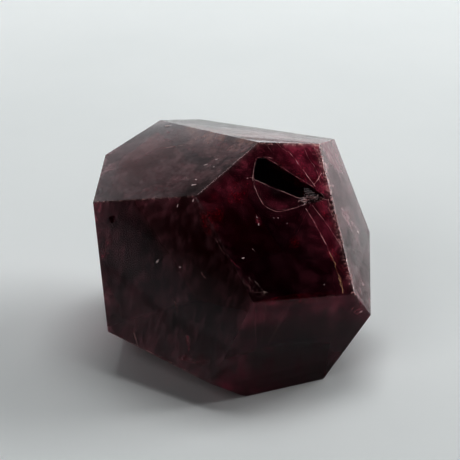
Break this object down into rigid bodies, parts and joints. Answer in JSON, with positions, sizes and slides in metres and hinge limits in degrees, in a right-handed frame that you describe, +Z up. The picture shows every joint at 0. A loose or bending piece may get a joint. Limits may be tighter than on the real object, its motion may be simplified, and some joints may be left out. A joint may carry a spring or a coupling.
{
  "type": "garnet crystal",
  "caption": "Dark red garnet crystal with flat polished faces and a shell-shaped chip, resting on a small flat face under it.",
  "frame": {"origin": "middle of the crystal's outline, on the surface that it rests on", "axes": "+Z up, +X to the right and -Y to the front, where the big front left face, the clear chipped face and the lower right face are seen"},
  "size_m": [0.048, 0.0536, 0.0363],
  "materials": {
    "garnet": "polished, very dark red and see-through, with glossy faces and fine wear"
  },
  "bodies": {
    "root": {"garnet_crystal": "garnet"}
  },
  "joints": []
}
